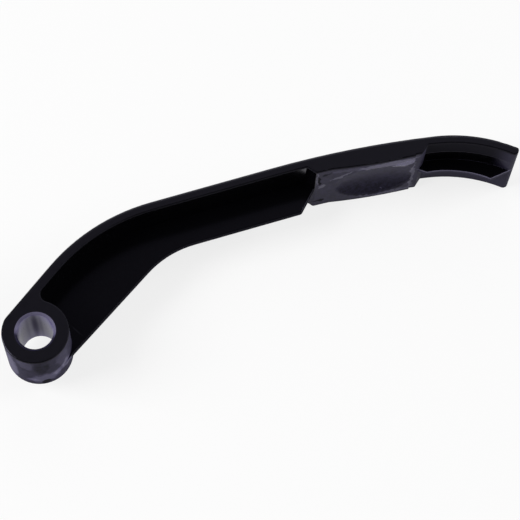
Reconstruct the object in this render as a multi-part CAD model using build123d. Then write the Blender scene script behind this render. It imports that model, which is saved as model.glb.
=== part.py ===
"""Oil pump chain guide: one moulding in black plastic.

A tall curved rail carries the chain on its outer face. At one end it runs into
a bored boss, at the other into a rounded nose. A thin web at mid-height stiffens
the rail from the boss to a thick bearing pad on the rail's back, and goes on
past the pad as a narrow lip towards the nose.

The origin is on the axis of the bore, in the plane of the boss's lower face, by
which the guide sits on its seat. X runs along the rail's straight stretch, and +Y
is the chain's side. The rail's lower edge hangs a little below the boss.
Distances called "along" are measured on the outer face from where it leaves the
boss, and distances called "depth" are measured inwards from the outer face.
"""
from build123d import *
from math import degrees, radians, sin, sqrt, tan
import os

# Rail: outer line from the boss to the nose, each stretch tangent to the last
rail_height = 18.0
rail_thickness = 2.2
root_heading = 35.9
root_length = 14.3
bend_radius = 43.8
straight_length = 28.8
sweep_radius = 228.0
sweep_angle = 9.7
tip_radius = 35.2
tip_angle = 31.5

# Boss and bore
boss_diameter = 14.8
boss_height = 13.8
bore_diameter = 8.0
bore_chamfer = 0.5
seat_clearance = 1.0
pocket_corner_radius = 2.0

# Web: the plate at mid-height, with a free edge from the boss to the pad
web_thickness = 1.2
web_heading = 33.1
web_depth = 9.4
web_bend_radius = 22.0
web_corner_radius = 0.8
web_slant_run = 4.9
web_edge_radius = 0.5

# Bearing pad on the rail's back: a crown between two shoulders, with a hollow
pad_lead = 9.7
pad_length = 25.5
pad_ramp_angle = 50.0
pad_foot_radius = 0.6
pad_corner_radius = 0.5
shoulder_depth = 4.2
near_shoulder_width = 4.0
far_shoulder_width = 1.6
crown_rise = 0.7
crown_step = 0.3
hollow_depth = 1.0
hollow_sweep_radius = 70.0
hollow_profile_radius = 21.0

# Lip between the pad and the nose
lip_start_run = 1.8
lip_end_run = 3.3
lip_near_depth = 5.2
lip_middle_depth = 5.3
lip_far_depth = 5.8
lip_edge_radius = 0.15

# Rounding of the chain face's two edges and of the rims at the top and bottom
chain_edge_radius = 0.8
rim_radius = 0.25

boss_radius = boss_diameter / 2
bore_radius = bore_diameter / 2
rail_bottom = boss_height - rail_height
web_level = rail_bottom + rail_height / 2
rail_middle = rail_thickness / 2
pad_start = root_length + bend_radius * radians(root_heading) + straight_length + pad_lead
pad_end = pad_start + pad_length
crown_start = pad_start + near_shoulder_width
crown_end = pad_end - far_shoulder_width
crown_middle = (crown_start + crown_end) / 2
crown_depth = shoulder_depth + crown_rise


def guide_edges(depth):
    """The outer line moved inwards by a depth, as edges from the boss to the nose."""
    start = Vector(0, boss_radius - depth).rotate(Axis.Z, root_heading)
    root = Line(start, start + Vector(root_length, 0).rotate(Axis.Z, root_heading))
    bend = JernArc(root @ 1, root % 1, bend_radius - depth, -root_heading)
    straight = Line(bend @ 1, bend @ 1 + Vector(straight_length, 0))
    sweep = JernArc(straight @ 1, straight % 1, sweep_radius - depth, -sweep_angle)
    tip = JernArc(sweep @ 1, sweep % 1, tip_radius - depth, -tip_angle)
    return [root, bend, straight, sweep, tip]


outer_line = Wire(guide_edges(0))
guide_length = outer_line.length
straight_top = outer_line.bounding_box().max.Y


def at(along, depth):
    """The plan point at a distance along the outer line and a depth below it."""
    point = outer_line.position_at(along, PositionMode.LENGTH)
    heading = outer_line.tangent_at(along, PositionMode.LENGTH)
    return point + Vector(heading.Y, -heading.X) * depth


def rail_plan():
    """The rail seen from above, closed by a round nose."""
    outer = guide_edges(0)
    inner = guide_edges(rail_thickness)
    nose = JernArc(outer[-1] @ 1, outer[-1] % 1, rail_middle, -180)
    root_end = Line(inner[0] @ 0, outer[0] @ 0)
    return make_face(outer + [nose] + inner + [root_end])


def pad_front():
    """The line of the pad's two shoulders, from the near corner to the far corner."""
    near_corner = at(pad_start, shoulder_depth)
    return ThreePointArc(near_corner, at(crown_middle, shoulder_depth), at(pad_end, shoulder_depth))


def pad_plan():
    """The pad seen from above without its crown, with a ramp at each end."""
    front = pad_front()
    ramp_run = (shoulder_depth - rail_middle) / tan(radians(pad_ramp_angle))
    near_foot = at(pad_start - ramp_run, rail_middle)
    far_foot = at(pad_end + ramp_run, rail_middle)
    back = ThreePointArc(far_foot, at(crown_middle, rail_middle), near_foot)
    return make_face([Line(near_foot, front @ 0), front, Line(front @ 1, far_foot), back])


def inner_side():
    """The plan region on the inner side of the rail's middle line."""
    middle = guide_edges(rail_middle)
    root_start = middle[0] @ 0
    nose_end = middle[-1] @ 1
    below = -2 * boss_diameter
    closing = Polyline(nose_end, (nose_end.X, below), (root_start.X, below), root_start)
    return make_face(middle + [closing])


def web_edge():
    """The web's free edge, tangent to the boss and ending at the pad's near corner."""
    leaving_boss = Vector(0, -boss_radius).rotate(Axis.Z, web_heading)
    pad_corner = pad_front() @ 0
    edge_y = straight_top - web_depth
    first_run = (edge_y - leaving_boss.Y) / sin(radians(web_heading))
    bend_corner = leaving_boss + Vector(first_run, 0).rotate(Axis.Z, web_heading)
    slant_corner = Vector(pad_corner.X - web_slant_run, edge_y)
    return FilletPolyline(
        leaving_boss, bend_corner, slant_corner, pad_corner,
        radius=(web_bend_radius, web_corner_radius),
    )


def web_plan():
    """The web seen from above, from the bore's axis to the pad."""
    edge = web_edge()
    closing = Polyline(edge @ 1, ((edge @ 1).X, straight_top), (0, straight_top), (0, 0), edge @ 0)
    return make_face([edge, closing]) & inner_side()


def lip_edge():
    """The lip's free edge, from the pad's far corner to the nose."""
    near = pad_end + lip_start_run
    far = guide_length - lip_end_run
    middle = (near + far) / 2
    front = ThreePointArc(at(near, lip_near_depth), at(middle, lip_middle_depth), at(far, lip_far_depth))
    from_pad = Line(pad_front() @ 1, front @ 0)
    to_nose = Line(front @ 1, at(guide_length, rail_middle) - Vector(0, rail_middle))
    return Wire([from_pad, front, to_nose])


def lip_plan():
    """The lip seen from above, from the pad to the nose."""
    edge = lip_edge()
    closing = Polyline(edge @ 1, at(guide_length, 0), at(pad_end, 0), edge @ 0)
    return make_face(edge.edges() + closing.edges()) & inner_side()


def plate(plan, edge, radius):
    """A plate at the web's level, with its free edge rounded above and below."""
    body = Pos(Z=web_level - web_thickness / 2) * extrude(plan, web_thickness)
    rims = body.edges().filter_by(Plane.XY)
    rims = rims.sort_by(lambda rim: edge.distance_to(Vertex((rim @ 0.5).X, (rim @ 0.5).Y, 0)))
    return fillet(rims[: 2 * len(edge.edges())], radius)


def nearest_vertices(plan, points):
    """The vertex of a plan that is nearest to each point."""
    return [plan.vertices().sort_by_distance(point)[0] for point in points]


def head():
    """The boss with the first third of the rail's root grown into it."""
    plan = rail_plan() + Circle(boss_radius)
    reach = sqrt(boss_radius**2 - (boss_radius - rail_thickness) ** 2)
    pocket_corner = Vector(reach, boss_radius - rail_thickness).rotate(Axis.Z, root_heading)
    plan = fillet(nearest_vertices(plan, [pocket_corner]), pocket_corner_radius)
    plan &= Circle(boss_radius + root_length / 3)
    body = extrude(plan, boss_height)
    return fillet(body.faces().sort_by(Axis.Z)[0].edges(), rim_radius)


def rail():
    """The rail with its pad, cut back round the seat of the boss."""
    plan = rail_plan() + pad_plan()
    foot_run = (shoulder_depth - rail_thickness) / tan(radians(pad_ramp_angle))
    feet = [at(pad_start - foot_run, rail_thickness), at(pad_end + foot_run, rail_thickness)]
    corners = [pad_front() @ 0, pad_front() @ 1]
    plan = fillet(nearest_vertices(plan, feet), pad_foot_radius)
    plan = fillet(nearest_vertices(plan, corners), pad_corner_radius)
    plan -= Circle(boss_radius + seat_clearance)
    body = Pos(Z=rail_bottom) * extrude(plan, rail_height)
    return fillet(body.faces().sort_by(Axis.Z)[0].edges(), rim_radius)


def crown():
    """The raised middle of the pad, with its front rounded at the top and bottom."""
    near = pad_front() @ (near_shoulder_width / pad_front().length)
    far = at(crown_end, shoulder_depth + crown_step)
    front = ThreePointArc(near, at(crown_middle, crown_depth), far)
    back = Polyline(far, at(crown_end, rail_middle), at(crown_start, rail_middle), near)
    body = Pos(Z=rail_bottom) * extrude(make_face([front, back]), rail_height)
    return fillet(body.edges().filter_by(GeomType.CIRCLE), rim_radius)


def chain_edge_cutter():
    """What rounds the chain face's upper edge, running out past the boss and the nose."""
    outer = guide_edges(0)
    run_out = boss_radius
    before = Line(outer[0] @ 0 - outer[0] % 0 * run_out, outer[0] @ 0)
    after = Line(outer[-1] @ 1, outer[-1] @ 1 + outer[-1] % 1 * run_out)
    path = Pos(Z=boss_height) * Wire([before] + outer + [after])
    heading = path % 0
    corner = Plane(path @ 0, x_dir=(heading.Y, -heading.X, 0), z_dir=-heading)
    side = 2 * chain_edge_radius
    round_part = Pos(chain_edge_radius, -chain_edge_radius) * Circle(chain_edge_radius)
    return sweep(corner * (Rectangle(side, side) - round_part), path)


def bore_cutter():
    """The bore with its chamfered ends."""
    flare = bore_radius + bore_chamfer
    profile = Polyline(
        (0, 0),
        (flare, 0),
        (bore_radius, bore_chamfer),
        (bore_radius, boss_height - bore_chamfer),
        (flare, boss_height),
        (0, boss_height),
        close=True,
    )
    return revolve(Plane.XZ * make_face(profile), Axis.Z)


def hollow_cutter():
    """The shallow dish in the crown of the pad, curved both ways."""
    heading = outer_line.tangent_at(crown_middle, PositionMode.LENGTH)
    outward = Vector(-heading.Y, heading.X)
    floor = at(crown_middle, crown_depth - hollow_depth) + Vector(0, 0, web_level)
    section = Plane(floor, x_dir=outward, z_dir=heading)
    tube = section * Pos(X=-hollow_profile_radius) * Circle(hollow_profile_radius)
    axis = Axis(floor - outward * hollow_sweep_radius, (0, 0, 1))
    half_turn = degrees((crown_end - crown_start) / 2 / hollow_sweep_radius)
    return revolve(tube.rotate(axis, -half_turn), axis, 2 * half_turn)


def chain_guide():
    """The whole moulding, with its bore and hollow cut last."""
    body = head() + rail()
    body = fillet(body.faces().sort_by(Axis.Z)[-1].edges(), rim_radius)
    body += crown()
    upper_cutter = chain_edge_cutter()
    body -= upper_cutter
    body -= mirror(upper_cutter, Plane.XY.offset(web_level))
    body += plate(web_plan(), web_edge(), web_edge_radius)
    body += plate(lip_plan(), lip_edge(), lip_edge_radius)
    body -= bore_cutter()
    body -= hollow_cutter()
    return body.solid()


os.makedirs("parts", exist_ok=True)
export_step(chain_guide(), "parts/chain_guide.step")
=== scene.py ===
"""Looks for the oil pump chain guide: worn black plastic, with light and shade painted into its colour
in places, on a white floor.
"""
import math
from types import SimpleNamespace

import bpy
from mathutils import Matrix, Quaternion, Vector


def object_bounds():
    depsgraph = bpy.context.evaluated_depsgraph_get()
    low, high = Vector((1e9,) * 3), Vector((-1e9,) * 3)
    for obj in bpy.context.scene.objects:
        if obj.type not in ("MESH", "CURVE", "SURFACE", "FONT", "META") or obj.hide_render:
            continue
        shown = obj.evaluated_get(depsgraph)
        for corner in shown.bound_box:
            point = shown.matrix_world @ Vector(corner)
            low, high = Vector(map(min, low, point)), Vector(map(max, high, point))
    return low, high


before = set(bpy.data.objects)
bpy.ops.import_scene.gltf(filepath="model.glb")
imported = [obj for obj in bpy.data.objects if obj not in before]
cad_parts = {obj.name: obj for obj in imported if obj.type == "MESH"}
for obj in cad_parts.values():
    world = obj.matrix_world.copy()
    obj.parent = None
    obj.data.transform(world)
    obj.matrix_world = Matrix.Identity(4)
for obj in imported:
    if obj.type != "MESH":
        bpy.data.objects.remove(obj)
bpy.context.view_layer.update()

MM = 0.001
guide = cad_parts["chain_guide"]
floor_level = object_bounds()[0].z


# Camera, as the photograph was taken

SENSOR_MM = 36.0
FOCAL_SHARE = 3.3464
CAMERA_PLACE = Vector((-4.0, -143.1, 369.7)) * MM
CAMERA_AZIMUTH = math.radians(-21.226)
CAMERA_ELEVATION = math.radians(66.45)
CAMERA_ROLL = math.radians(3.558)
CAMERA_RANGE = (0.01, 20.0)

# Away from the camera, level with the floor
AWAY = Vector((-math.sin(CAMERA_AZIMUTH), math.cos(CAMERA_AZIMUTH), 0))


def raised(heading, elevation):
    """A level direction tipped up by an angle."""
    return heading * math.cos(elevation) + Vector((0, 0, math.sin(elevation)))


def make_camera():
    """The camera at the photograph's place, looking down steeply and rolled a little."""
    data = bpy.data.cameras.new("camera")
    data.sensor_width = SENSOR_MM
    data.lens = SENSOR_MM * FOCAL_SHARE
    data.clip_start, data.clip_end = CAMERA_RANGE
    camera = bpy.data.objects.new("camera", data)
    camera.rotation_mode = "QUATERNION"
    look = raised(AWAY, -CAMERA_ELEVATION)
    camera.rotation_quaternion = look.to_track_quat("-Z", "Y") @ Quaternion((0, 0, 1), CAMERA_ROLL)
    camera.location = CAMERA_PLACE
    bpy.context.scene.collection.objects.link(camera)
    bpy.context.scene.camera = camera


# Building blocks for the shaders

def add(tree, kind, inputs, **settings):
    """A new node with its settings made and its inputs linked or set."""
    node = tree.nodes.new(kind)
    for name, value in settings.items():
        setattr(node, name, value)
    for socket, value in inputs.items():
        if isinstance(value, bpy.types.NodeSocket):
            tree.links.new(value, node.inputs[socket])
        else:
            node.inputs[socket].default_value = value
    return node


def calc(tree, operation, *values):
    """The result of one sum, each value being a number or another node's result."""
    return add(tree, "ShaderNodeMath", dict(enumerate(values)), operation=operation).outputs[0]


def length_of(tree, vector):
    """The length of a vector."""
    return add(tree, "ShaderNodeVectorMath", {0: vector}, operation="LENGTH").outputs["Value"]


def noise(tree, point, scale, detail):
    """Grain with features of about one millimetre over the scale."""
    inputs = {"Vector": point, "Scale": scale, "Detail": detail}
    return add(tree, "ShaderNodeTexNoise", inputs)


def swing(tree, grain, width):
    """Grain from 0 to 1 turned into a swing of that width about 0."""
    return calc(tree, "MULTIPLY_ADD", grain, width, -width / 2)


# Masks, each 1 on its own surface and 0 elsewhere, and what is done with them

# How softly a mask ends, in millimetres
FADE = 0.1
SOFT_FADE = 0.2
LONG_FADE = 0.5


def step(tree, value, start, end):
    """A smooth rise from 0 to 1 as the value goes from the start to the end."""
    inputs = {"Value": value, "From Min": start, "From Max": end}
    return add(tree, "ShaderNodeMapRange", inputs, interpolation_type="SMOOTHSTEP").outputs[0]


def between(tree, value, start, end):
    """1 between the start and the end, fading to 0 at each."""
    risen = step(tree, value, start, start + FADE)
    return all_of(tree, risen, step(tree, value, end, end - FADE))


def outside(tree, mask):
    """1 where the mask is 0."""
    return calc(tree, "SUBTRACT", 1.0, mask)


def all_of(tree, mask, *others):
    """1 where all the masks are 1."""
    for other in others:
        mask = calc(tree, "MULTIPLY", mask, other)
    return mask


def any_of(tree, mask, *others):
    """1 where any of the masks is 1."""
    for other in others:
        mask = calc(tree, "MAXIMUM", mask, other)
    return mask


def plus(tree, value, mask, amount):
    """The value with an amount added in the mask."""
    return calc(tree, "MULTIPLY_ADD", mask, amount, value)


def at_least(tree, value, mask, level):
    """The value, raised to the level where it is lower in the mask."""
    return calc(tree, "MAXIMUM", value, calc(tree, "MULTIPLY", mask, level))


def mixed(tree, value, mask, other):
    """The value, with the other one in its place in the mask."""
    return add(tree, "ShaderNodeMix", {"Factor": mask, "A": value, "B": other}).outputs["Result"]


def mixed_colour(tree, colour, mask, other, **settings):
    """The colour, with the other one in its place in the mask."""
    inputs = {"A": colour, "B": other, "Factor": mask}
    node = add(tree, "ShaderNodeMix", inputs, data_type="RGBA", **settings)
    return node.outputs["Result"]


# Stage: a white floor, a sky that glows behind the guide, and soft lamps

FLOOR_SIZE = 6.0
FLOOR_COLOUR = (0.93, 0.93, 0.93, 1)
FLOOR_ROUGHNESS = 0.9
FLOOR_WHITE_SHARE = 0.8

# How bright the sky is, by how close to the glow's middle a direction points
SKY_GLOW_ELEVATION = math.radians(25)
SKY_GREYS = {0.0: 0.10, 0.76: 0.10, 0.9: 0.7, 1.0: 1.2}

# Each lamp's turn and height in degrees from straight behind the guide, and its watts
LAMPS = {"left_lamp": (100, 38, 15), "right_lamp": (-75, 28, 9)}
LAMP_SIZE = 0.7
LAMP_DISTANCE = 1.3
GUIDE_MIDDLE = Vector((55, 10, 0)) * MM


def make_floor():
    """A large white floor that shows the guide's shadow softly."""
    half = FLOOR_SIZE / 2
    mesh = bpy.data.meshes.new("floor")
    corners = [(-half, -half, 0), (half, -half, 0), (half, half, 0), (-half, half, 0)]
    mesh.from_pydata(corners, [], [(0, 1, 2, 3)])
    floor = bpy.data.objects.new("floor", mesh)
    floor.location.z = floor_level
    bpy.context.scene.collection.objects.link(floor)

    material = bpy.data.materials.new("floor")
    material.use_nodes = True
    tree = material.node_tree
    shader = tree.nodes["Principled BSDF"]
    shader.inputs["Base Color"].default_value = FLOOR_COLOUR
    shader.inputs["Roughness"].default_value = FLOOR_ROUGHNESS
    shader.inputs["Specular IOR Level"].default_value = 0.0
    rays = add(tree, "ShaderNodeLightPath", {}).outputs
    seen = any_of(tree, rays["Is Camera Ray"], rays["Is Glossy Ray"], rays["Is Transmission Ray"])
    share = calc(tree, "MULTIPLY", seen, FLOOR_WHITE_SHARE)
    white = add(tree, "ShaderNodeEmission", {"Color": (1, 1, 1, 1), "Strength": 1.0})
    mix = add(tree, "ShaderNodeMixShader", {0: share, 1: shader.outputs[0], 2: white.outputs[0]})
    tree.links.new(mix.outputs[0], tree.nodes["Material Output"].inputs["Surface"])
    mesh.materials.append(material)


def make_world():
    """A dim sky with a broad glow low behind the guide."""
    world = bpy.data.worlds.new("world")
    bpy.context.scene.world = world
    world.use_nodes = True
    tree = world.node_tree
    place = add(tree, "ShaderNodeTexCoord", {})
    inputs = {0: place.outputs["Generated"], 1: raised(AWAY, SKY_GLOW_ELEVATION)}
    nearness = add(tree, "ShaderNodeVectorMath", inputs, operation="DOT_PRODUCT")
    ramp = add(tree, "ShaderNodeValToRGB", {"Fac": nearness.outputs["Value"]})
    elements = ramp.color_ramp.elements
    while len(elements) < len(SKY_GREYS):
        elements.new(0.5)
    for element, (position, grey) in zip(elements, SKY_GREYS.items()):
        element.position = position
        element.color = (grey, grey, grey, 1)
    tree.links.new(ramp.outputs["Color"], tree.nodes["Background"].inputs["Color"])


def make_lamp(name, turn, elevation, power):
    """A square soft lamp that faces the guide."""
    data = bpy.data.lights.new(name, "AREA")
    data.shape = "SQUARE"
    data.size = LAMP_SIZE
    data.energy = power
    lamp = bpy.data.objects.new(name, data)
    heading = Matrix.Rotation(math.radians(turn), 3, "Z") @ AWAY
    away = raised(heading, math.radians(elevation))
    lamp.location = GUIDE_MIDDLE + away * LAMP_DISTANCE
    lamp.rotation_mode = "QUATERNION"
    lamp.rotation_quaternion = (-away).to_track_quat("-Z", "Y")
    bpy.context.scene.collection.objects.link(lamp)


# The plastic's surfaces: lengths are in millimetres, in the guide's own frame

BORE_RADIUS = 4.0
CHAMFER_RADIUS = 4.5
BOSS_RADIUS = 7.4
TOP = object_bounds()[1].z / MM
RIM_BAND = 0.6
WEB_TOP = 5.4
WEB_BOTTOM = 4.2
WEB_EDGE_END = 71.5
LIP_START = 97.0
TIP_START = 112.0

# Ranges, each from where a mask is 0 to where it is 1: distances from the bore's axis
CHAMFER_RANGE = (BORE_RADIUS + 0.02, BORE_RADIUS + 0.06)
OFF_BOSS_RANGE = (BOSS_RADIUS + 0.3, BOSS_RADIUS + 0.6)

# Ranges of height, of which the last is where the nose's inner wall goes from glossy to dull
TOP_RANGE = (TOP - 1.0, TOP - 0.6)
RIM_RANGE = (TOP - 0.4, TOP - 0.3)
DULLING_RANGE = (8.9, 9.6)

# Ranges along the guide
LIP_RANGE = (LIP_START - 2.0, LIP_START)
NOSE_RANGE = (LIP_START - 1.0, LIP_START)
TIP_RANGE = (TIP_START, TIP_START + 5.0)

# Ranges of a surface's direction: its upward part, or its part towards the chain or the nose
WALL_TURN = (0.7, 0.4)
TOP_TURN = (0.97, 0.99)
RIM_TURN = (0.98, 0.9)
LIP_EDGE_TURN = (0.97, 0.9)
WEB_EDGE_TURN = (0.95, 0.85)
CHAIN_TURN = (0.2, 0.4)
NOSE_TURN = (0.05, 0.2)

# Heights between which the narrow surfaces lie
LEDGE_HEIGHTS = (TOP - 0.6, TOP - 0.15)
LIP_EDGE_HEIGHTS = (WEB_TOP - 0.3, WEB_TOP + 0.1)
WEB_EDGE_HEIGHTS = (WEB_BOTTOM - 0.2, WEB_TOP)

# The boss's marks lie on its outside away from the chain, partly wear and partly painted
# light and shade. In the bore, the side towards the chain gets a painted reflection, and its
# chamfer a painted highlight. The distance towards the chain is Y and this share of X.
CHAIN_SKEW = 0.4
BOSS_WEAR_AND_LIGHT_RANGE = (3.0, 0.5)
BORE_LIGHT_RANGE = (-1.5, 1.0)

# The pad: its own axes, the ends of its front, where that starts below the web, and how
# far in it reaches
PAD_CENTRE = Vector((84.8, 16.6, 4.8))
PAD_HEADING = math.radians(-5.9)
PAD_ENDS = (-13.6, 11.2)
PAD_FOOT = -16.0
PAD_DEPTH = 2.2

# The hollow in the pad, and the ranges in which its shade ends at its oval outline and
# fades upwards, in shares of its size
HOLLOW_CENTRE = (0.7, 2.3)
HOLLOW_RADII = (9.2, 6.0, 5.1)
HOLLOW_TILT = 0.06
OVAL_RANGE = (1.05, 0.9)
SHADE_RANGE = (1.0, -0.6)

# The far ramp: how far past the pad it goes, and how much further out and in it goes
# below the web's top
RAMP_RUN = 1.5
LOW_RAMP_RUN = 1.6
LOW_RAMP_DEPTH = 2.0

# The grain: broad clouds and fine speckle, and how far the clouds fray a mark's edge
CLOUD_SCALE = 0.8
CLOUD_DETAIL = 5
SPECKLE_SCALE = 2.6
SPECKLE_DETAIL = 3
FRAY = 1.1


def in_axes(tree, point, place, rotation, scale=(1, 1, 1)):
    """The point in axes that start at a place, turned and scaled."""
    inputs = {"Vector": point, "Location": place, "Rotation": rotation, "Scale": scale}
    return add(tree, "ShaderNodeMapping", inputs, vector_type="TEXTURE").outputs[0]


def on_pad(along, height):
    """A place on the pad, by its distance along the pad and its height."""
    place = PAD_CENTRE + Vector((math.cos(PAD_HEADING), math.sin(PAD_HEADING), 0)) * along
    place.z = height
    return place


def survey(tree):
    """Where a point is and which way it faces, with the grain there."""
    place = add(tree, "ShaderNodeTexCoord", {}).outputs["Object"]
    inputs = {0: place, "Scale": 1 / MM}
    point = add(tree, "ShaderNodeVectorMath", inputs, operation="SCALE").outputs[0]
    x, y, z = add(tree, "ShaderNodeSeparateXYZ", {0: point}).outputs
    radius = length_of(tree, add(tree, "ShaderNodeCombineXYZ", {0: x, 1: y}).outputs[0])
    normal = add(tree, "ShaderNodeNewGeometry", {}).outputs["Normal"]
    facing_x, facing_y, up = add(tree, "ShaderNodeSeparateXYZ", {0: normal}).outputs
    level = calc(tree, "ABSOLUTE", up)

    # The frayed point is shifted to and fro, so that marks placed by it have ragged edges
    clouds = noise(tree, point, CLOUD_SCALE, CLOUD_DETAIL)
    speckle = noise(tree, point, SPECKLE_SCALE, SPECKLE_DETAIL).outputs["Fac"]
    inputs = {0: clouds.outputs["Color"], 1: (2 * FRAY,) * 3, 2: (-FRAY,) * 3}
    shift = add(tree, "ShaderNodeVectorMath", inputs, operation="MULTIPLY_ADD").outputs[0]
    frayed = add(tree, "ShaderNodeVectorMath", {0: point, 1: shift}, operation="ADD").outputs[0]
    return SimpleNamespace(
        point=point, frayed=frayed, x=x, y=y, z=z, radius=radius,
        facing_x=facing_x, facing_y=facing_y, up=up, level=level,
        clouds=clouds.outputs["Fac"], speckle=speckle,
    )


def find_walls(tree, at, zones):
    """Flat tops, walls, the band along the walls' upper edge and the rounded rims over it."""
    # The side that the chain runs on stays plain
    zones.off_boss = step(tree, at.radius, *OFF_BOSS_RANGE)
    chain_side = all_of(tree, zones.off_boss, step(tree, at.facing_y, *CHAIN_TURN))
    zones.elsewhere = outside(tree, chain_side)

    wall = step(tree, at.level, *WALL_TURN)
    band = step(tree, at.z, TOP - RIM_BAND - FADE, TOP - RIM_BAND + FADE)
    zones.band = all_of(tree, band, wall)
    zones.below_band = all_of(tree, wall, outside(tree, band), zones.elsewhere)
    zones.top = all_of(tree, step(tree, at.z, *TOP_RANGE), step(tree, at.up, *TOP_TURN))
    rim = all_of(tree, step(tree, at.z, *RIM_RANGE), step(tree, at.up, *RIM_TURN))
    zones.rim = all_of(tree, rim, step(tree, at.facing_x, *NOSE_TURN))
    zones.low = step(tree, at.z, WEB_TOP, WEB_TOP - SOFT_FADE)


def find_boss(tree, at, zones):
    """The bore, its chamfer and the boss's side, by their distance from the bore's axis."""
    zones.bore = step(tree, at.radius, CHAMFER_RADIUS + FADE, CHAMFER_RADIUS)
    towards_chain = plus(tree, at.y, at.x, CHAIN_SKEW)
    around = calc(tree, "SUBTRACT", outside(tree, zones.off_boss), zones.bore)
    zones.boss = all_of(tree, around, zones.below_band, step(tree, towards_chain, *BOSS_WEAR_AND_LIGHT_RANGE))
    # The bore's side towards the chain, where its painted reflection and the chamfer's painted highlight
    # go
    zones.far_side = step(tree, towards_chain, *BORE_LIGHT_RANGE)
    zones.chamfer = all_of(tree, zones.bore, step(tree, at.radius, *CHAMFER_RANGE), zones.far_side)


def find_pad(tree, at, zones):
    """The pad's front, the ledge along its top, its hollow and the ramp at its far end."""
    local = in_axes(tree, at.point, PAD_CENTRE, (0, 0, PAD_HEADING))
    along, inward = add(tree, "ShaderNodeSeparateXYZ", {0: local}).outputs[:2]
    start, end = PAD_ENDS

    # The front is longer below the web than above it
    foot = step(tree, at.z, WEB_BOTTOM + SOFT_FADE, WEB_BOTTOM)
    begun = any_of(tree, step(tree, along, start - FADE, start + FADE), foot)
    begun = all_of(tree, begun, step(tree, along, PAD_FOOT, PAD_FOOT + SOFT_FADE))
    front = all_of(tree, begun, step(tree, along, end, end - SOFT_FADE))
    reach = step(tree, inward, PAD_DEPTH + SOFT_FADE, PAD_DEPTH)
    zones.pad = all_of(tree, front, reach, zones.below_band)
    zones.ledge = all_of(tree, front, between(tree, at.z, *LEDGE_HEIGHTS))

    # The hollow is strongest low down
    local = in_axes(tree, at.frayed, on_pad(*HOLLOW_CENTRE), (0, HOLLOW_TILT, PAD_HEADING), HOLLOW_RADII)
    oval = step(tree, length_of(tree, local), *OVAL_RANGE)
    rise = add(tree, "ShaderNodeSeparateXYZ", {0: local}).outputs["Z"]
    zones.hollow = all_of(tree, oval, step(tree, rise, *SHADE_RANGE), zones.pad)

    # The ramp goes further out and in below the web's top
    run = plus(tree, RAMP_RUN, zones.low, LOW_RAMP_RUN)
    depth = plus(tree, inward, zones.low, -LOW_RAMP_DEPTH)
    near = step(tree, calc(tree, "SUBTRACT", along, run), end + FADE, end)
    ramp = all_of(tree, near, step(tree, depth, PAD_DEPTH + SOFT_FADE, PAD_DEPTH))
    past_front = step(tree, along, end - SOFT_FADE, end - FADE)
    zones.far_ramp = all_of(tree, ramp, past_front, zones.below_band)


def find_web_and_nose(tree, at, zones):
    """The web's free edge, the lip's edge, and the nose's walls below and above the lip."""
    edge = all_of(tree, between(tree, at.z, *WEB_EDGE_HEIGHTS), zones.off_boss, zones.elsewhere)
    edge = all_of(tree, edge, step(tree, at.level, *WEB_EDGE_TURN))
    zones.web_edge = all_of(tree, edge, step(tree, at.x, WEB_EDGE_END, WEB_EDGE_END - LONG_FADE))

    # The lip's upper edge, which gets a painted highlight
    lip = all_of(tree, between(tree, at.z, *LIP_EDGE_HEIGHTS), step(tree, at.up, *LIP_EDGE_TURN))
    zones.lip_edge = all_of(tree, lip, step(tree, at.x, *LIP_RANGE), zones.elsewhere)

    # The walls under the lip and at the nose's tip, which are painted paler as painted light
    zones.under_lip = all_of(tree, zones.low, step(tree, at.x, LIP_START, LIP_START + LONG_FADE))
    end_wall = any_of(tree, zones.under_lip, step(tree, at.x, *TIP_RANGE))
    zones.end_wall = all_of(tree, end_wall, zones.below_band)
    inner = all_of(tree, step(tree, at.z, *DULLING_RANGE), zones.below_band)
    zones.nose_inner = all_of(tree, inner, step(tree, at.x, *NOSE_RANGE))


# The plastic's wear, and light and shade painted into its colour

# Each mark: its place, half length, half width, tilt in degrees, and what it adds to the
# roughness and to the paler colour. On the pad and the boss the marks are partly wear and
# partly painted light and shade; in the bore they are painted shade. A place on the pad is
# a distance along it and a height, and one in the bore or on the boss is an angle in
# degrees and a height.
PAD_MARKS = (
    (-7.4, 9.4, 3.4, 0.40, 33, -0.30, 0.5),
    (7.4, 10.4, 3.0, 1.1, 10, -0.46, 1.7),
    (3.5, 11.8, 7.6, 1.1, 2, -0.34, 1.0),
    (4.0, -2.9, 8.0, 0.6, 0, -0.16, 0.5),
    (-7.5, 12.0, 5.0, 0.6, 2, -0.10, 0.3),
    (-13.4, 10.0, 0.30, 3.4, 0, -0.30, 0.4),
    (-12.1, 5.6, 0.8, 0.8, 0, -0.30, 0.5),
    (-12.8, 8.8, 0.5, 2.2, 10, 0.35, -0.6),
    (-10.9, 11.5, 1.6, 0.6, 15, 0.20, -0.4),
    (-12.2, -1.6, 1.6, 0.5, 0, 0.35, -0.8),
    (9.9, 3.6, 0.6, 6.5, 0, -0.26, 0.5),
    (2.6, -0.5, 0.25, 0.3, 0, -0.50, 1.0),
)
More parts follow.
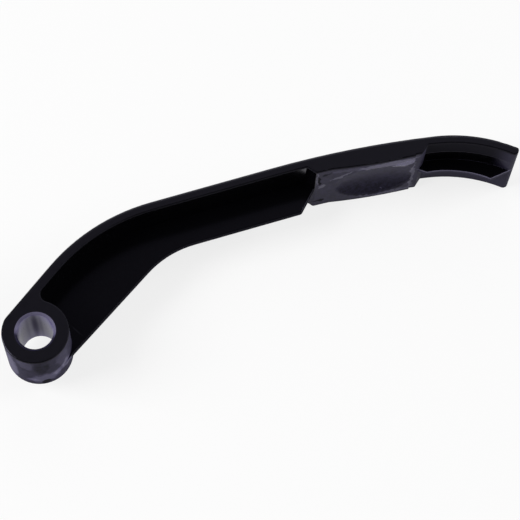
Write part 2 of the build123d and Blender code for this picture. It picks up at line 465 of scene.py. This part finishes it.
# Painted shade: darker, rougher stripes down the middle of the bore's far wall
BORE_MARKS = (
    (82, 7, 1.1, 9.0, 0, 0.34, -1.2),
    (64, 7, 0.5, 9.0, 0, 0.15, -0.5),
    (108, 7, 0.6, 9.0, 0, 0.10, -0.3),
)
BOSS_MARKS = (
    (-92, 3.7, 4.0, 2.5, 10, -0.24, 1.1),
    (-68, 4.8, 1.9, 1.3, 35, -0.20, 0.9),
    (-117, 2.8, 1.5, 0.9, 0, -0.15, 0.8),
    (-158, 6.0, 2.0, 8.0, 0, -0.28, 1.0),
    (-92.5, 1.7, 1.2, 1.0, 0, 0.60, -3.6),
    (-48, 5.2, 1.8, 2.4, 0, -0.30, 1.0),
    (-124, 11.5, 2.2, 3.2, 15, -0.14, 0.4),
    (-54, 9.6, 2.2, 4.4, 0, -0.12, 0.3),
    (-98, 10.0, 2.2, 3.6, 0, 0.08, -0.3),
)
MARK_DEPTH = 2.0

# Where a mark has faded out, and where its full strength ends, in shares of its size
MARK_END = 1.12
PAD_CORE = 0.78
BORE_CORE = 0.1
BOSS_CORE = 0.6

# The line on the web
WEB_LINE_PLACE = (9.1, 0.9, WEB_TOP)
WEB_LINE_RADII = (2.3, 0.30, 1)
WEB_LINE_TURN = math.radians(-60)

# Each surface's own roughness, what is added to it, and its limits
ROUGHNESS = {
    "plain": 0.14,
    "nose_inner": 0.98,
    "boss": 0.84,
    "pad": 0.68,
    "end_wall": 0.70,
    "web_edge": 0.85,
    "band": 0.95,
    "rim": 0.8,
    "far_ramp": 0.75,
    "bore": 0.29,
}
ADDED_ROUGHNESS = {"clouds": 0.08, "top": 0.20, "under_lip": 0.07, "hollow": 0.3, "speckle": 0.3}
LEAST_ROUGHNESS = 0.12
MOST_ROUGHNESS = 0.98

# How much of the speckle is lost in the hollow and in the bore
SMOOTHING = 0.7

# How far the colour goes from plain plastic to the paler colour, and from there to the
# edges' colour. The clouds and speckle are scuffing; the hollow's darkening is painted
# shade; the bore's far side and the end wall are painted light; the edges' colour on the
# bore's chamfer and the lip's edge is a painted highlight.
SCUFFING_AND_PAINTED_LIGHT = {"plain": 0.1, "clouds": 0.8, "speckle": 0.8, "hollow": -0.25, "bore": 3.6, "end_wall": 0.4}
EDGE_HIGHLIGHT = 0.9

# The relief of the grain, what scuffing adds to it and the web's line, in this unit
RELIEF_UNIT = 0.1 * MM
RELIEF_STRENGTH = 0.5
GRAIN_RELIEF = 0.06
SCUFF_RELIEF = 0.3
WEB_LINE_RELIEF = -0.5

# The plastic itself, its paler colour where scuffed and where light is painted on, the
# painted highlight on the bore's chamfer and the lip's edge, and its sheen's tint
PLASTIC_IOR = 1.4
PLASTIC_COLOUR = (0.0012, 0.0012, 0.0016, 1)
SCUFF_AND_LIGHT_COLOUR = (0.037, 0.032, 0.073, 1)
EDGE_HIGHLIGHT_COLOUR = (0.15, 0.14, 0.21, 1)
SHEEN_TINT = (0.74, 0.70, 1.0, 1)


def patch(tree, point, place, radii, rotation, core):
    """An oval patch round a place, turned and tilted, that fades out of its core."""
    return step(tree, length_of(tree, in_axes(tree, point, place, rotation, radii)), MARK_END, core)


def wear_and_light_marks(tree, at):
    """What all the marks, of wear and of painted light and shade, add to roughness and colour."""
    patches = []
    for along, height, length, width, tilt, *changes in PAD_MARKS:
        rotation = (0, -math.radians(tilt), PAD_HEADING)
        radii = (length, MARK_DEPTH, width)
        mask = patch(tree, at.frayed, on_pad(along, height), radii, rotation, PAD_CORE)
        patches.append((mask, changes))
    bore = (BORE_RADIUS, BORE_MARKS, at.point, BORE_CORE)
    boss = (BOSS_RADIUS, BOSS_MARKS, at.frayed, BOSS_CORE)
    for wall_radius, marks, point, core in (bore, boss):
        for angle, height, length, width, tilt, *changes in marks:
            turn = math.radians(angle)
            place = (math.cos(turn) * wall_radius, math.sin(turn) * wall_radius, height)
            rotation = (0, -math.radians(tilt), turn + math.pi / 2)
            mask = patch(tree, point, place, (length, MARK_DEPTH, width), rotation, core)
            patches.append((mask, changes))
    rough = 0.0
    scuff = 0.0
    for mask, (rough_change, scuff_and_light_change) in patches:
        rough = plus(tree, rough, mask, rough_change)
        scuff = plus(tree, scuff, mask, scuff_and_light_change)
    return rough, scuff


def surface_roughness(tree, at, zones, marks):
    """The plastic's roughness, surface by surface, then the marks and the speckle on it."""
    rough = plus(tree, ROUGHNESS["plain"], at.clouds, ADDED_ROUGHNESS["clouds"])
    rough = plus(tree, rough, zones.top, ADDED_ROUGHNESS["top"])
    rough = at_least(tree, rough, zones.nose_inner, ROUGHNESS["nose_inner"])
    rough = at_least(tree, rough, zones.boss, ROUGHNESS["boss"])
    rough = mixed(tree, rough, zones.pad, ROUGHNESS["pad"])
    end_wall = plus(tree, ROUGHNESS["end_wall"], zones.under_lip, ADDED_ROUGHNESS["under_lip"])
    rough = mixed(tree, rough, zones.end_wall, end_wall)
    rough = at_least(tree, rough, zones.web_edge, ROUGHNESS["web_edge"])
    rough = mixed(tree, rough, zones.band, ROUGHNESS["band"])
    rough = at_least(tree, rough, zones.ledge, ROUGHNESS["band"])
    rough = at_least(tree, rough, zones.rim, ROUGHNESS["rim"])
    rough = mixed(tree, rough, zones.far_ramp, ROUGHNESS["far_ramp"])
    rough = mixed(tree, rough, zones.bore, ROUGHNESS["bore"])
    rough = plus(tree, rough, zones.hollow, ADDED_ROUGHNESS["hollow"])
    rough = plus(tree, rough, zones.scuffable, marks)
    speckled = plus(tree, 1.0, any_of(tree, zones.hollow, zones.bore), -SMOOTHING)
    speckled = all_of(tree, zones.scuffable, speckled)
    rough = plus(tree, rough, speckled, swing(tree, at.speckle, ADDED_ROUGHNESS["speckle"]))
    rough = calc(tree, "MAXIMUM", rough, LEAST_ROUGHNESS)
    return calc(tree, "MINIMUM", rough, MOST_ROUGHNESS)


def surface_colour(tree, at, zones, marks):
    """Black, paler where scuffed and where light is painted, darker where shade is painted, palest on
    painted edge highlights.
    """
    scuff = plus(tree, SCUFFING_AND_PAINTED_LIGHT["plain"], at.clouds, SCUFFING_AND_PAINTED_LIGHT["clouds"])
    scuff = calc(tree, "ADD", scuff, marks)
    scuff = calc(tree, "ADD", scuff, swing(tree, at.speckle, SCUFFING_AND_PAINTED_LIGHT["speckle"]))
    # Painted shade: the hollow is darker, most so low down
    scuff = plus(tree, scuff, zones.hollow, SCUFFING_AND_PAINTED_LIGHT["hollow"])
    # Painted reflection: the bore's side towards the chain is far paler
    scuff = plus(tree, scuff, all_of(tree, zones.bore, zones.far_side), SCUFFING_AND_PAINTED_LIGHT["bore"])
    scuff = calc(tree, "MULTIPLY", scuff, any_of(tree, zones.scuffable, zones.far_ramp))
    # Painted light: the end wall and the wall under the lip are paler
    scuff = at_least(tree, scuff, zones.end_wall, SCUFFING_AND_PAINTED_LIGHT["end_wall"])
    # The paler colour, of scuffs and of painted light and shade
    scuffed = mixed_colour(tree, PLASTIC_COLOUR, scuff, SCUFF_AND_LIGHT_COLOUR, clamp_factor=False)
    # Painted highlight: the bore's chamfer and the lip's edge are palest
    worn = calc(tree, "MULTIPLY", any_of(tree, zones.chamfer, zones.lip_edge), EDGE_HIGHLIGHT)
    return mixed_colour(tree, scuffed, worn, EDGE_HIGHLIGHT_COLOUR)


def surface_relief(tree, at, zones):
    """Fine grain, stronger where the plastic is scuffed, and the line on the web."""
    depth = plus(tree, GRAIN_RELIEF, zones.scuffable, SCUFF_RELIEF)
    depth = calc(tree, "MULTIPLY", at.speckle, depth)
    line = patch(tree, at.point, WEB_LINE_PLACE, WEB_LINE_RADII, (0, 0, WEB_LINE_TURN), 0.0)
    depth = plus(tree, depth, line, WEB_LINE_RELIEF)
    inputs = {"Height": depth, "Strength": RELIEF_STRENGTH, "Distance": RELIEF_UNIT}
    return add(tree, "ShaderNodeBump", inputs).outputs["Normal"]


def make_plastic():
    """Black moulded plastic, satin on the rims, scuffed and painted with light and shade on the boss and
    the pad, with painted light in the bore, on the nose's end and on the chamfer and the lip's edge.
    """
    material = bpy.data.materials.new("moulding")
    material.use_nodes = True
    tree = material.node_tree
    shader = tree.nodes["Principled BSDF"]
    shader.inputs["IOR"].default_value = PLASTIC_IOR
    shader.inputs["Specular Tint"].default_value = SHEEN_TINT

    at = survey(tree)
    zones = SimpleNamespace()
    for find in (find_walls, find_boss, find_pad, find_web_and_nose):
        find(tree, at, zones)
    # The boss, the pad and the bore, where scuffs and painted light and shade go
    zones.scuffable = any_of(tree, zones.boss, zones.pad, zones.bore)
    rough_marks, scuff_and_light_marks = wear_and_light_marks(tree, at)
    tree.links.new(surface_roughness(tree, at, zones, rough_marks), shader.inputs["Roughness"])
    tree.links.new(surface_colour(tree, at, zones, scuff_and_light_marks), shader.inputs["Base Color"])
    tree.links.new(surface_relief(tree, at, zones), shader.inputs["Normal"])
    return material


make_camera()
make_floor()
make_world()
for lamp_name, (lamp_turn, lamp_elevation, lamp_power) in LAMPS.items():
    make_lamp(lamp_name, lamp_turn, lamp_elevation, lamp_power)
guide.data.materials.clear()
guide.data.materials.append(make_plastic())

bpy.context.scene.view_settings.view_transform = "Standard"
